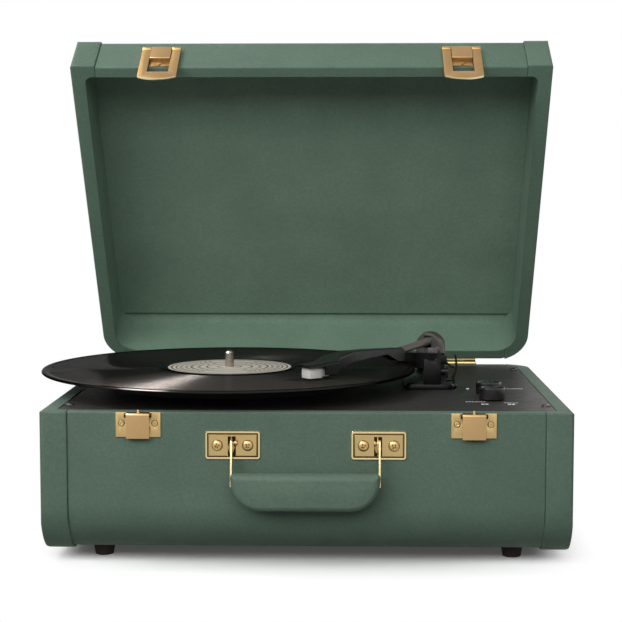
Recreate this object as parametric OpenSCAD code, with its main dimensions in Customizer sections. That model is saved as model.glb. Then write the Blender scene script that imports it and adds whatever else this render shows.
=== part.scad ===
// Portable record player in a hinged case, standing open with a record on its platter.
// Every sub-part is drawn where it sits in the case: X to the right from the middle of the case,
// Y backwards from the front face, Z up from the rim where the lid meets the base.
// place() then moves the whole assembly so that the row's origin lies on the spindle's axis,
// level with the top of the record.

/* [Case] */
// Outer width of the case
case_w = 386; // [370:1:400]
// Depth of the case, front face to rear face
case_d = 302; // [295:1:315]
// Height of the base, from its underside to the rim
base_h = 106; // [95:1:120]
// Height of the lid, from its rim to its top
lid_h = 50; // [48:1:60]
// Width of the padded cheek at each end of the case
cheek_w = 20; // [17:1:26]
// How far the cheeks stand proud of the middle of the case
cheek_proud = 1.5; // [0.5:0.1:2.5]
// Thickness of the side walls
side_wall = 11; // [9:0.5:13]
// Thickness of the front wall
front_wall = 9; // [8:0.5:12]
// Thickness of the rear wall
rear_wall = 9.5; // [8:0.5:12]
// Radius of the long bottom edges of the base, seen from the side
base_edge_r = 38; // [20:1:38]
// Radius of the long top edges of the lid, seen from the side
lid_edge_r = 13.5; // [10:0.5:32]
// Radius of the upright rear corners
rear_corner_r = 30; // [20:1:32]
// Angle between the lid and the base as it stands
lid_open = 56.8; // [50:0.1:65]

/* [Deck] */
// Thickness of the deck plate
deck_t = 4; // [3:0.5:6]
// Drop of the deck plate below the rim
deck_drop = 0.5; // [0.3:0.1:1]
// Spindle centre, from the middle of the case
spindle_x = -66; // [-68:1:-60]
// Spindle centre, from the front face
spindle_y = 142.4; // [140:0.2:150]
// Platter radius
platter_r = 99; // [95:1:105]
// Record radius
record_r = 150.8; // [150:0.1:151]
// Height of the record's top above the rim
record_z = 16; // [16:0.5:17]

/* [Tonearm] */
// Tonearm pivot, from the middle of the case
pivot_x = 101.2; // [100:0.2:103]
// Tonearm pivot, from the front face
pivot_y = 222; // [220:1:226]
// Distance from the pivot to the stylus
arm_length = 192.5; // [190:0.5:194]
// Swing of the arm inwards from straight forward
arm_swing = 31.96; // [30:0.5:33]
// Angle of the head to the arm
head_offset = 20; // [16:1:24]

/* [Fittings] */
// Distance of each latch from the middle of the case
latch_x = 121; // [110:1:130]
// Distance of each handle bracket from the middle of the case
bracket_x = 52.7; // [52:0.1:54]
// Distance of each hinge from the middle of the case
hinge_x = 126.8; // [110:0.5:130]
// Distance of each foot from the middle of the case
foot_x = 154; // [140:1:158]
// Height of the feet
foot_h = 9.5; // [6:0.5:14]
// Control knob radius
knob_r = 10; // [9:0.5:11]

/* [Hidden] */
$fn = 72;
eps = 0.01;
cut = 1;                       // how far a cutter runs past the face it cuts
half_w = case_w / 2;
seam_x = half_w - cheek_w;     // where the cheeks meet the middle of the case
cavity_x = half_w - side_wall; // inner face of the side walls
cavity_y0 = front_wall;
cavity_y1 = case_d - rear_wall;
front_corner_r = 3;
inner_front_r = 6;
inner_rear_r = rear_corner_r - side_wall;
bottom_t = 9;
lid_top_t = 5.5;
lining_t = 1.5;
lid_depth = lid_h - lid_top_t - lining_t;

hinge_y = case_d + 5;
hinge_z = 0;
knuckle_r = 3;
knuckle_w = 20;                // length of the lid leaf's knuckle, in the middle of the hinge
hinge_pin_r = 1.2;
running = 0.05;                // radial clearance of a running fit
leaf_w = 40;
leaf_h = 20;
leaf_t = 1.4;

deck_top = -deck_drop;
deck_gap = 0.4;
ledge_w = 10;
ledge_h = 9;

shaft_r = 2.98;
bush_r = 6;
bush_bottom = -22;
spindle_r = 3.575;
spindle_seat_r = 3.6;
spindle_tip_h = 2;
spindle_top = record_z + 13.5;
platter_top = 12;
mat_top = platter_top + 1.8;
mat_r = platter_r - 1.5;
belt_ring_r = 68;
label_r = 50;
label_t = 0.2;

pulley_r = 4;
pulley_reach = 86;             // distance of the motor's shaft from the spindle
pulley_angle = 118;
belt_t = 0.8;
belt_gap = 0.25;
motor_shaft_r = 1;
motor_x = spindle_x + pulley_reach * cos(pulley_angle);
motor_y = spindle_y + pulley_reach * sin(pulley_angle);

island = [76, 126.6, 115, 244]; // arm base: left, front, right and rear edges
island_top = 3.8;
pivot_z = 29.6;
dome_r = 12.6;
dome_z = 25.1;
turret_shaft_r = 4;
arm_pin_r = 1.5;
tube_r = 3.15;
tube_fall = 4.6;               // downward slope of the tube, in degrees
stylus_tip = record_z + 0.03;

rest_x = 97.9;
rest_w = 13.4;
rest_front = 127;
rest_d = 10;
rest_top = 31;
cradle_w = 10.4;
cradle_z = 21.8;
cradle_lip = 23.5;
clip_pivot = [107.5, 22.5];
lever_pivot = [130, 14];
lift_bar_r = 31.6;

knob_x = 140.6;
knob_front_y = 72;
knob_rear_y = 104;
knob_h = 9.6;
knob_gap = 0.6;
knob_shaft_r = 3;
led = [126.5, 133];
switch_y = 268;
speed_x = 60;
autostop_x = 84;

latch_plate = [32.4, 18];
latch_axis = [-3, -2.3];
lever_w = 16.8;
latch_pin_r = 0.8;
hasp_axis = [-2.7, 24.4];
hasp_w = 31;
hasp_plate_w = 16.4;
hasp_rod_r = 1.3;
bracket_z = -24;
bracket = [40, 20.8];
handle_axis = [-3.6, -22];
handle_pin_r = 1.2;
strap_w = 1.4;                 // the bracket's strap between its two slots
slot_width = 2.6;
arm_t = 1.4;
grip_w = 110.4;
grip_h = 27;
grip_t = 17;
grip_z = -42.6;
grip_y = -10.2;

panel = [110, 36];
panel_x = 88;
panel_z = -50;
floor_panel = [316, 180];
floor_panel_y = case_d / 2;
speaker_x = 92;
foot_y = [47, case_d - 47];
foot_top_r = 8.6;
foot_bottom_r = 6.8;

rim_edge_r = 1.5;
end_edge_r = 5;
lid_floor_r = 10;
screw_r = 1.5;
floor_panel_t = 3;
panel_t = 1.6;
foot_recess = 4;
slot_w = 3.4;
slot_pitch = 8;
slot_field_r = 36;
lift_x = 108.9;
lift_y = 191;
lift_shaft_r = 2;
clip_pin_r = 1.2;
lever_pin_r = 1.4;
tube_end = 62;
rca_x = [120, 104];
headphone_x = 80;
headphone_r = 4;
dc_x = 58;
dc_r = 5;

function deck_screw_places() = [for (x = [-177.4, 177.4], y = [38, 264]) [x, y]];
function panel_screw_places() = [for (x = [-153, 0, 153], y = [-85, 85]) [x, floor_panel_y + y]];
// x, y and radius of each round hole in the deck plate
function deck_holes() = concat(
    [[spindle_x, spindle_y, bush_r], [motor_x, motor_y, 5.5], [pivot_x, pivot_y, 6], [lift_x, lift_y, 4.2],
        [knob_x, knob_front_y, 3.6], [knob_x, knob_rear_y, 3.6], [led[0], led[1], 1.5]],
    [for (at = deck_screw_places()) [at[0], at[1], screw_r]]);

GREEN = [0.33, 0.41, 0.36];
LINING = [0.29, 0.37, 0.33];
BRASS = [0.82, 0.72, 0.47];
COPPER = [0.76, 0.64, 0.46];
BLACK = [0.1, 0.1, 0.1];
CHARCOAL = [0.2, 0.19, 0.19];
RUBBER = [0.13, 0.11, 0.1];
STEEL = [0.72, 0.71, 0.68];
CREAM = [0.88, 0.87, 0.83];
BOARD = [0.1, 0.35, 0.18];

// ---------- shared shapes ----------

// Case coordinates to the row's own frame
module place() translate([-spindle_x, -spindle_y, -record_z]) children();

// The lid's pieces are drawn shut and turned open about the hinge pins
module opened() place()
    translate([0, hinge_y, hinge_z]) rotate([-lid_open, 0, 0]) translate([0, -hinge_y, -hinge_z])
        children();

// Tonearm frame: pivot at the origin, arm towards -Y, turned in over the record
module on_pivot() place() translate([pivot_x, pivot_y, 0]) rotate([0, 0, -arm_swing]) children();

// A rectangle from corner a to corner b. r gives the radius of each corner in turn:
// front left, front right, rear right, rear left
module corners(a, b, r) {
    at = [a, [b[0], a[1]], b, [a[0], b[1]]];
    flip = [[0, 0], [1, 0], [1, 1], [0, 1]];
    difference() {
        translate(a) square(b - a);
        for (i = [0:3])
            translate(at[i]) mirror([flip[i][0], 0]) mirror([0, flip[i][1]]) difference() {
                translate([-cut, -cut]) square(r[i] + cut);
                translate([r[i], r[i]]) circle(r[i]);
            }
    }
}

// The same outline drawn in the YZ plane and pulled along X from x0 to x1
module along_x(x0, x1) translate([x0, 0, 0]) rotate([90, 0, 90]) linear_extrude(x1 - x0) children();

// An outline in the XZ plane pulled along Y from y0 to y1
module along_y(y0, y1) translate([0, y1, 0]) rotate([90, 0, 0]) linear_extrude(y1 - y0) children();

module rod_x(r, x0, x1, y, z) translate([x0, y, z]) rotate([0, 90, 0]) cylinder(r = r, h = x1 - x0);
module rod_y(r, y0, y1, x, z) translate([x, y1, z]) rotate([90, 0, 0]) cylinder(r = r, h = y1 - y0);
module rod_z(r, z0, z1, x, y) translate([x, y, z0]) cylinder(r = r, h = z1 - z0);
module block(a, b) translate(a) cube(b - a);

// Round-headed screw along -Z, head on top of the face at z = 0
module screw(head_r, head_h, shank_r, shank) {
    cylinder(r = head_r, h = head_h * 0.5);
    translate([0, 0, head_h * 0.5]) cylinder(r1 = head_r, r2 = head_r * 0.55, h = head_h * 0.5);
    translate([0, 0, -shank]) cylinder(r = shank_r, h = shank + eps);
}

// ---------- case ----------

// Outline of the case seen from above
module plan(grow) corners([-half_w, -grow], [half_w, case_d + grow],
    [front_corner_r, front_corner_r, rear_corner_r, rear_corner_r]);

// Outline of the hollow inside the walls
module plan_inside(gap) corners([-cavity_x + gap, cavity_y0 + gap], [cavity_x - gap, cavity_y1 - gap],
    [inner_front_r, inner_front_r, inner_rear_r, inner_rear_r]);

module base_solid(grow, x0, x1) intersection() {
    translate([0, 0, -base_h - grow]) linear_extrude(base_h + grow) plan(grow);
    along_x(x0, x1) corners([-grow, -base_h - grow], [case_d + grow, 0],
        [base_edge_r + grow, base_edge_r + grow, rim_edge_r, rim_edge_r]);
    along_y(-grow - cut, case_d + grow + cut) corners([-half_w, -base_h - grow], [half_w, 0],
        [end_edge_r, end_edge_r, rim_edge_r, rim_edge_r]);
}

module base_hollow() intersection() {
    translate([0, 0, bottom_t - base_h]) linear_extrude(base_h) plan_inside(0);
    along_x(-half_w, half_w) corners([cavity_y0, bottom_t - base_h], [cavity_y1, cut],
        [base_edge_r - front_wall, base_edge_r - rear_wall, 0, 0]);
}

module base_shell() color(GREEN) place() {
    ledge_top = deck_top - deck_t;
    difference() {
        union() {
            difference() {
                base_solid(0, -seam_x, seam_x);
                base_hollow();
            }
            block([-seam_x, cavity_y0 - eps, ledge_top - ledge_h],
                [seam_x, cavity_y0 + ledge_w, ledge_top]);
            block([-seam_x, cavity_y1 - ledge_w, ledge_top - ledge_h],
                [seam_x, cavity_y1 + eps, ledge_top]);
        }
        floor_opening();
        rear_opening();
        for (x = [-foot_x, foot_x], y = foot_y) rod_z(screw_r, -base_h - cut, 8 - base_h, x, y);
        for (side = [-1, 1], dx = [-11, 11])
            rod_y(screw_r, -cut, 8, side * bracket_x + dx, bracket_z);
        for (side = [-1, 1], dx = [-12, 12])
            rod_y(screw_r, -cut, 8, side * latch_x + dx, -8.3);
        for (side = [-1, 1], dx = [-13, 0, 13])
            rod_y(screw_r, case_d - 8, case_d + cut, side * hinge_x + dx, -leaf_h * 0.6);
    }
}

// The hole in the floor, with a step that the floor panel lies in
module floor_opening() {
    lip = 10;
    block([lip - floor_panel[0] / 2, floor_panel_y - floor_panel[1] / 2 + lip, -base_h - cut],
        [floor_panel[0] / 2 - lip, floor_panel_y + floor_panel[1] / 2 - lip, -base_h + bottom_t + cut]);
    block([-floor_panel[0] / 2, floor_panel_y - floor_panel[1] / 2, -base_h - cut],
        [floor_panel[0] / 2, floor_panel_y + floor_panel[1] / 2, -base_h + floor_panel_t]);
    for (at = panel_screw_places()) rod_z(screw_r, -base_h, -base_h + 7, at[0], at[1]);
}

// The hole in the rear wall, with a step that the socket panel lies in
module rear_opening() {
    along_y(cavity_y1 - cut, case_d + cut)
        corners([panel_x - panel[0] / 2 + 5, panel_z - panel[1] / 2 + 5],
            [panel_x + panel[0] / 2 - 5, panel_z + panel[1] / 2 - 5], [2, 2, 2, 2]);
    along_y(case_d - panel_t, case_d + cut) panel_outline();
}

module panel_outline() corners([panel_x - panel[0] / 2, panel_z - panel[1] / 2],
    [panel_x + panel[0] / 2, panel_z + panel[1] / 2], [4, 4, 4, 4]);

// side is -1 for the left end of the case and 1 for the right
module base_cheek(side) color(GREEN) place() {
    ledge_top = deck_top - deck_t;
    x0 = side < 0 ? -half_w - cut : seam_x;
    x1 = side < 0 ? -seam_x : half_w + cut;
    difference() {
        union() {
            difference() {
                base_solid(cheek_proud, x0, x1);
                base_hollow();
            }
            block([side < 0 ? -cavity_x - eps : seam_x, cavity_y0 - eps, ledge_top - ledge_h],
                [side < 0 ? -seam_x : cavity_x + eps, cavity_y1 - 10, ledge_top]);
        }
        for (at = deck_screw_places()) rod_z(screw_r, ledge_top - ledge_h - cut, cut, at[0], at[1]);
    }
}

module base_cheek_left() base_cheek(-1);
module base_cheek_right() base_cheek(1);

module lid_solid(grow, x0, x1) intersection() {
    linear_extrude(lid_h + grow) plan(grow);
    along_x(x0, x1) corners([-grow, 0], [case_d + grow, lid_h + grow],
        [rim_edge_r, rim_edge_r, lid_edge_r + grow, lid_edge_r + grow]);
    along_y(-grow - cut, case_d + grow + cut) corners([-half_w, 0], [half_w, lid_h + grow],
        [rim_edge_r, rim_edge_r, end_edge_r, end_edge_r]);
}

module lid_hollow() intersection() {
    translate([0, 0, -cut]) linear_extrude(lid_h - lid_top_t + cut) plan_inside(0);
    along_x(-half_w, half_w) corners([cavity_y0, -cut], [cavity_y1, lid_h - lid_top_t],
        [0, 0, lid_floor_r, lid_floor_r]);
}

module lid_shell() color(GREEN) opened() difference() {
    lid_solid(0, -seam_x, seam_x);
    lid_hollow();
    for (side = [-1, 1]) rod_y(screw_r, -cut, 7, side * latch_x, 4.5);
    for (side = [-1, 1], dx = [-13, 0, 13])
        rod_y(screw_r, case_d - 8, case_d + cut, side * hinge_x + dx, leaf_h * 0.6);
}

module lid_cheek(side) color(GREEN) opened() difference() {
    lid_solid(cheek_proud, side < 0 ? -half_w - cut : seam_x, side < 0 ? -seam_x : half_w + cut);
    lid_hollow();
}

module lid_cheek_left() lid_cheek(-1);
module lid_cheek_right() lid_cheek(1);

// Padded board that lines the top of the lid
module lid_lining() color(LINING) opened()
    translate([0, 0, lid_depth]) linear_extrude(lining_t) intersection() {
        plan_inside(0.1);
        translate([-half_w, cavity_y0 + lid_floor_r])
            square([case_w, cavity_y1 - cavity_y0 - 2 * lid_floor_r]);
    }

module slot_outline(x, y, length, r) {
    translate([x - r, y - length / 2]) square([2 * r, length]);
    for (end = [-1, 1]) translate([x, y + end * length / 2]) circle(r);
}

// Screwed floor of the base, slotted below each speaker
module bottom_panel() color(BLACK) place() difference() {
    translate([0, 0, -base_h]) linear_extrude(floor_panel_t) difference() {
        corners([-floor_panel[0] / 2, floor_panel_y - floor_panel[1] / 2],
            [floor_panel[0] / 2, floor_panel_y + floor_panel[1] / 2], [0, 0, 0, 0]);
        for (side = [-1, 1], i = [-4:4])
            slot_outline(side * speaker_x + i * slot_pitch, floor_panel_y,
                2 * sqrt(pow(slot_field_r, 2) - pow(i * slot_pitch, 2)), slot_w / 2);
    }
    for (at = panel_screw_places()) rod_z(screw_r, -base_h - cut, cut - base_h + floor_panel_t, at[0], at[1]);
}

// The screws of the floor panel and of the feet
module bottom_screws() color(STEEL) place() {
    for (at = panel_screw_places())
        translate([at[0], at[1], -base_h]) rotate([180, 0, 0]) screw(3, 1.8, screw_r, 7);
    for (x = [-foot_x, foot_x], y = foot_y)
        translate([x, y, foot_recess - base_h - foot_h]) rotate([180, 0, 0])
            screw(3.2, 2, screw_r, foot_h - foot_recess + 7.5);
}

module feet() color(RUBBER) place()
    for (x = [-foot_x, foot_x], y = foot_y) translate([x, y, -base_h - foot_h]) difference() {
        cylinder(r1 = foot_bottom_r, r2 = foot_top_r, h = foot_h);
        translate([0, 0, -cut]) cylinder(r = 4, h = foot_recess + cut);
        cylinder(r = screw_r, h = foot_h + cut);
    }

// ---------- inside the base ----------

module speaker_baskets() color(CHARCOAL) place()
    for (side = [-1, 1]) translate([side * speaker_x, floor_panel_y, -base_h + floor_panel_t])
        rotate_extrude() polygon([[38, 0], [45, 0], [45, 2], [40.5, 2], [25, 22], [25, 38],
            [0, 38], [0, 22], [22, 22], [38, 2]]);

module speaker_cones() color(BLACK) place()
    for (side = [-1, 1]) translate([side * speaker_x, floor_panel_y, -base_h + floor_panel_t])
        rotate_extrude() polygon([[0, 12], [9, 14], [11, 14], [35, 1], [38, 1], [38, 2], [12, 15.4],
            [12, 22], [10.5, 22], [10.5, 15.4], [0, 13.4]]);

module circuit_board() color(BOARD) place() {
    block([112, 52, -17.6], [172, 120, -16]);
    block([114, 56, -16], [124, 74, -9]);
    for (i = [0:2]) rod_z(4, -16, -6, 119, 84 + i * 12);
}

module potentiometers() color(STEEL) place()
    for (y = [knob_front_y, knob_rear_y]) difference() {
        union() {
            rod_z(8.5, -16, deck_top - deck_t, knob_x, y);
            rod_z(3.6, deck_top - deck_t, deck_top, knob_x, y);
        }
        rod_z(knob_shaft_r + running, -14, cut, knob_x, y);
    }

module motor() color(STEEL) place() translate([motor_x, motor_y, 0]) difference() {
    union() {
        translate([0, 0, -30]) cylinder(r = 16, h = 24);
        translate([0, 0, -31.5]) cylinder(r = 7, h = 1.5);
        translate([-24, -11, -6.1]) cube([48, 22, 6.1 + deck_top - deck_t]);
    }
    translate([0, 0, -12]) cylinder(r = motor_shaft_r + running, h = 20);
}

// Outline of the belt's path, grown by g, from its two round runs and the straight runs between
module belt_outline(g) {
    wide = belt_ring_r + g;
    narrow = pulley_r + g;
    lean = acos((wide - narrow) / pulley_reach);
    translate([spindle_x, spindle_y]) circle(wide);
    translate([motor_x, motor_y]) circle(narrow);
    polygon([for (p = [[0, -1], [1, -1], [1, 1], [0, 1]])
        [spindle_x, spindle_y] + p[0] * pulley_reach * [cos(pulley_angle), sin(pulley_angle)]
            + (p[0] == 0 ? wide : narrow)
                * [cos(pulley_angle + p[1] * lean), sin(pulley_angle + p[1] * lean)]]);
}

module drive_belt() color(RUBBER) place() translate([0, 0, 4.2]) linear_extrude(4.4) difference() {
    belt_outline(belt_gap + belt_t);
    belt_outline(belt_gap);
}

module motor_pulley() color(BRASS) place() translate([motor_x, motor_y, 0]) {
    translate([0, 0, -11]) cylinder(r = motor_shaft_r, h = 15);
    rotate_extrude() polygon([[0, 3], [4.9, 3], [4.9, 3.6], [pulley_r, 4.1], [pulley_r, 8.7],
        [4.9, 8.9], [4.9, 9.2], [0, 9.2]]);
}

module spindle_bearing() color(BRASS) place() translate([spindle_x, spindle_y, 0]) difference() {
    union() {
        translate([0, 0, bush_bottom - 3]) cylinder(r = bush_r, h = deck_top - bush_bottom + 3);
        translate([0, 0, deck_top]) cylinder(r = 11, h = 1.5);
    }
    translate([0, 0, bush_bottom]) cylinder(r = shaft_r + running, h = 40);
}

// ---------- turntable ----------

module on_spindle() place() translate([spindle_x, spindle_y, 0]) children();

module platter() color(CHARCOAL) on_spindle() rotate_extrude() polygon([
    [shaft_r, 1.6], [11, 1.6], [12, 9.5], [belt_ring_r - 2, 9.5], [belt_ring_r - 2, 3.4], [belt_ring_r, 3.4],
    [belt_ring_r, 9.5], [platter_r - 2.5, 9.5], [platter_r - 2.5, 3], [platter_r, 3],
    [platter_r, platter_top - 0.8], [platter_r - 0.8, platter_top], [shaft_r, platter_top]]);

module slip_mat() color(BLACK) on_spindle() difference() {
    translate([0, 0, platter_top]) cylinder(r = mat_r, h = mat_top - platter_top, $fn = 128);
    cylinder(r = 3.8, h = 30);
}

// Steel pin: a shaft in the bearing, a slightly tapered seat for the record and a round-nosed free end
module spindle() color(STEEL) on_spindle() {
    translate([0, 0, bush_bottom + 0.1]) cylinder(r = shaft_r, h = platter_top - bush_bottom - 0.1);
    translate([0, 0, platter_top]) cylinder(r1 = spindle_seat_r, r2 = spindle_r, h = record_z - platter_top);
    translate([0, 0, record_z]) cylinder(r = spindle_r, h = spindle_top - spindle_tip_h - record_z);
    translate([0, 0, spindle_top - spindle_tip_h]) {
        cylinder(r1 = spindle_r, r2 = 2.6, h = spindle_tip_h * 0.6);
        translate([0, 0, spindle_tip_h * 0.6]) cylinder(r1 = 2.6, r2 = 1.2, h = spindle_tip_h * 0.4);
    }
}

// Thin grooved field between a raised label area and a rounded bead at the edge
module record() color(BLACK) on_spindle() rotate_extrude($fn = 180) polygon([
    [3.65, mat_top + label_t], [label_r, mat_top + label_t], [label_r, mat_top], [52, mat_top],
    [55, mat_top + 0.3], [146, mat_top + 0.3], [148, mat_top + 0.1], [record_r - 0.6, mat_top + 0.2],
    [record_r, mat_top + 0.8], [record_r, record_z - 0.8], [record_r - 0.6, record_z - 0.1],
    [148, record_z - 0.05], [146, record_z - 0.25], [55, record_z - 0.25], [52, record_z],
    [label_r, record_z], [label_r, record_z - label_t], [3.65, record_z - label_t]]);

module record_label() color(CREAM) on_spindle() for (z = [mat_top, record_z - label_t])
    translate([0, 0, z]) difference() {
        cylinder(r = label_r, h = label_t, $fn = 128);
        translate([0, 0, -cut]) cylinder(r = 3.65, h = 4);
    }

// ---------- deck ----------

module deck_plate() color(BLACK) place() translate([0, 0, deck_top - deck_t]) difference() {
    linear_extrude(deck_t) plan_inside(deck_gap);
    for (h = deck_holes()) translate([h[0], h[1], -cut]) cylinder(r = h[2], h = deck_t + 2 * cut);
    for (x = [speed_x, autostop_x])
        translate([x - 1.5, switch_y - 7, -cut]) cube([3, 14, deck_t + 2 * cut]);
}

module deck_screws() color(STEEL) place() for (at = deck_screw_places())
    translate([at[0], at[1], deck_top]) screw(3.5, 1.6, screw_r, 12);

module power_light() color([0.9, 0.95, 0.9]) place() translate([led[0], led[1], 0]) {
    translate([0, 0, deck_top - deck_t]) cylinder(r = 1.5, h = deck_t);
    translate([0, 0, deck_top]) cylinder(r1 = 1.5, r2 = 0.8, h = 0.7);
}

// Round knob with a chamfered top, a shallow dish and a pointer groove, on its own shaft
module knob(y) color(BLACK) place() translate([knob_x, y, deck_top]) {
    difference() {
        rotate_extrude() polygon([[0, knob_gap], [knob_r - 0.5, knob_gap], [knob_r, knob_gap + 0.5],
            [knob_r, knob_h - 0.9], [knob_r - 0.9, knob_h], [knob_r - 1.8, knob_h],
            [knob_r - 2.4, knob_h - 0.6], [0, knob_h - 0.6]]);
        translate([-0.6, 2.5, knob_h - 1.2]) cube([1.2, knob_r, 2]);
    }
    translate([0, 0, -13]) cylinder(r = knob_shaft_r, h = 14);
}

module volume_knob() knob(knob_front_y);
module function_knob() knob(knob_rear_y);

// Ribbed cap above the deck, with a stem through the slot to a foot below it
module slide_switch(x) color(CHARCOAL) place() translate([x, switch_y, deck_top]) {
    difference() {
        translate([-3.5, -2.6, 0.2]) cube([7, 5.2, 3.8]);
        for (y = [-1.3, 0, 1.3]) translate([-4, y - 0.25, 3.5]) cube([8, 0.5, 1]);
    }
    translate([-1.2, -1.8, -deck_t - 0.3]) cube([2.4, 3.6, deck_t + 0.5]);
    translate([-3, -4, -deck_t - 1.5]) cube([6, 8, 1.2]);
}

module speed_switch() slide_switch(speed_x);
module autostop_switch() slide_switch(autostop_x);

// ---------- tonearm ----------

// Long moulded base of the arm, with the collar that the arm turns in and the guide of the cue lift
module arm_base() color(BLACK) place() difference() {
    union() {
        translate([0, 0, deck_top]) linear_extrude(island_top - deck_top - 0.8) island_outline(0);
        translate([0, 0, island_top - 0.8]) linear_extrude(0.8) island_outline(0.8);
        rod_z(12.8, island_top, island_top + 4.2, pivot_x, pivot_y);
        rod_z(10.5, island_top + 4.2, island_top + 4.8, pivot_x, pivot_y);
        rod_z(6, -12, island_top, pivot_x, pivot_y);
        rod_z(4.2, -12, island_top + 1.2, lift_x, lift_y);
    }
    rod_z(turret_shaft_r + running, -12 - cut, 20, pivot_x, pivot_y);
    rod_z(lift_shaft_r + running, -12 - cut, 20, lift_x, lift_y);
}

module island_outline(inset) corners([island[0] + inset, island[1] + inset],
    [island[2] - inset, island[3] - inset], [5, 5, 8, 8] - inset * [1, 1, 1, 1]);

// Post with a cradle for the parked arm: a low lip on the record's side, a tall wall on the other
module arm_rest() color(BLACK) place() difference() {
    union() {
        along_y(rest_front, rest_front + rest_d) corners([rest_x - rest_w / 2, island_top],
            [rest_x + rest_w / 2, rest_top], [0, 0, 2.5, 1]);
        // lug of the clip, at the back of the post
        block([rest_x + rest_w / 2 - 1, rest_front + 6.8, clip_pivot[1] - 3.4],
            [clip_pivot[0] + 2.2, rest_front + rest_d, clip_pivot[1] + 3.4]);
        rod_y(clip_pin_r, rest_front + rest_d - cut, rest_front + rest_d + 3.4, clip_pivot[0], clip_pivot[1]);
        // boss and pin of the cue lever
        x0 = rest_x + rest_w / 2;
        rod_x(3, x0 - cut, x0 + 0.5, lever_pivot[0], lever_pivot[1]);
        rod_x(lever_pin_r, x0 - cut, x0 + 4.7, lever_pivot[0], lever_pivot[1]);
    }
    rod_y(cradle_w / 2, rest_front - cut, rest_front + rest_d + cut, rest_x - 0.6, cradle_z + cradle_w / 2);
    block([rest_x - 0.6 - cradle_w / 2, rest_front - cut, cradle_z + cradle_w / 2],
        [rest_x - 0.6 + cradle_w / 2, rest_front + rest_d + cut, rest_top + cut]);
    block([rest_x - rest_w / 2 - cut, rest_front - cut, cradle_lip],
        [rest_x - 0.6, rest_front + rest_d + cut, rest_top + cut]);
}

// Unit vector across the run from a to b, and its mitred form at point i of a path
function across(a, b) = let(d = b - a) [-d[1], d[0]] / norm(d);
function mitre(p, i) =
    i == 0 ? across(p[0], p[1]) :
    i == len(p) - 1 ? across(p[i - 1], p[i]) :
    let(m = across(p[i - 1], p[i]), n = across(p[i], p[i + 1])) (m + n) / (1 + m * n);

// Band of width w that follows a path
module ribbon(p, w) polygon(concat(
    [for (i = [0:len(p) - 1]) p[i] + mitre(p, i) * w / 2],
    [for (i = [len(p) - 1:-1:0]) p[i] - mitre(p, i) * w / 2]));

// Thin hooked strap that closes over the parked arm, with a finger tab below, drawn swung open
module rest_clip() color(CHARCOAL) place() {
    y0 = rest_front + rest_d + 0.4;
    difference() {
        translate([clip_pivot[0], 0, clip_pivot[1]]) union() {
            rod_y(2.6, y0, y0 + 2.4, 0, 0);
            along_y(y0, y0 + 1.8) {
                ribbon([[0.5, -0.6], [4.5, -4.5], [9.8, -7.2]], 1.6);
                ribbon([[8.9, 4.3], [9.9, 0.2], [10.2, -4], [9.9, -8], [8.7, -12], [6.6, -15.6]], 1.6);
            }
        }
        rod_y(clip_pin_r + running, y0 - cut, y0 + 4, clip_pivot[0], clip_pivot[1]);
    }
}

// Flat strip with round ends, from point a to point b in its own plane
module strip(a, b, w) {
    d = b - a;
    translate(a) rotate(atan2(d[1], d[0])) translate([0, -w / 2]) square([norm(d), w]);
    translate(a) circle(w / 2);
    translate(b) circle(w / 2);
}

// Cranked lever beside the arm rest that works the cue lift
module cue_lever() color(STEEL) place() translate([rest_x + rest_w / 2 + 0.7, 0, 0]) difference() {
    union() {
        rod_x(3, 0, 5, lever_pivot[0], lever_pivot[1]);
        along_x(2.8, 4.8) ribbon([lever_pivot, [123, 10.6], [119.4, 8.6]], 3);
        rod_x(1.4, 2.8, 9.8, 119.8, 8.8);
        along_x(7.6, 9.8) ribbon([[119.8, 8.8], [111, 5]], 2.6);
        translate([8.7, 110.6, 4.8]) sphere(2.7, $fn = 32);
    }
    rod_x(lever_pin_r + running, -cut, 4.2, lever_pivot[0], lever_pivot[1]);
}

// Curved bar below the tube on a vertical shaft, raised by the lever
module cue_lift() color(BLACK) place() {
    translate([pivot_x, pivot_y, 0]) rotate([0, 0, 211]) rotate_extrude(angle = 77)
        translate([lift_bar_r - 2, 9.5]) square([4, 12.7]);
    rod_z(lift_shaft_r, -10, 9.6, lift_x, lift_y);
    rod_z(3.4, 7.5, 9.6, lift_x, lift_y);
}

// Domed housing that turns on the base, cut flat and slotted for the arm, with its cross pin
module arm_turret() color(CHARCOAL) on_pivot() {
    difference() {
        union() {
            translate([0, 0, -11]) cylinder(r = turret_shaft_r, h = 22);
            translate([0, 0, island_top + 5.2]) cylinder(r = dome_r, h = dome_z - island_top - 5.2);
            intersection() {
                translate([0, 0, dome_z]) sphere(dome_r, $fn = 72);
                translate([-20, -20, dome_z - eps]) cube([40, 40, 20]);
            }
        }
        block([-dome_r - cut, -dome_r - cut, 24.6], [dome_r + cut, -5, 40]);
        block([-3.5, -dome_r - cut, 24], [3.5, 4.4, 33.9]);
    }
    rod_x(arm_pin_r, -8, 8, 0, pivot_z);
}

module tube(r) translate([0, 0, pivot_z]) rotate([90 + tube_fall, 0, 0])
    cylinder(r = r, h = tube_end / cos(tube_fall));

// Straight tube with the cross-drilled block that hangs on the turret's pin, and the deep
// housing that closes its free end
module arm_tube() color(CHARCOAL) on_pivot() difference() {
    union() {
        rod_x(3.9, -3.3, 3.3, 0, pivot_z);
        tube(tube_r);
        for (i = [0:2]) hull() {
            station(housing[i]);
            station(housing[i + 1]);
        }
    }
    rod_x(arm_pin_r + running, -5, 5, 0, pivot_z);
}

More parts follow.
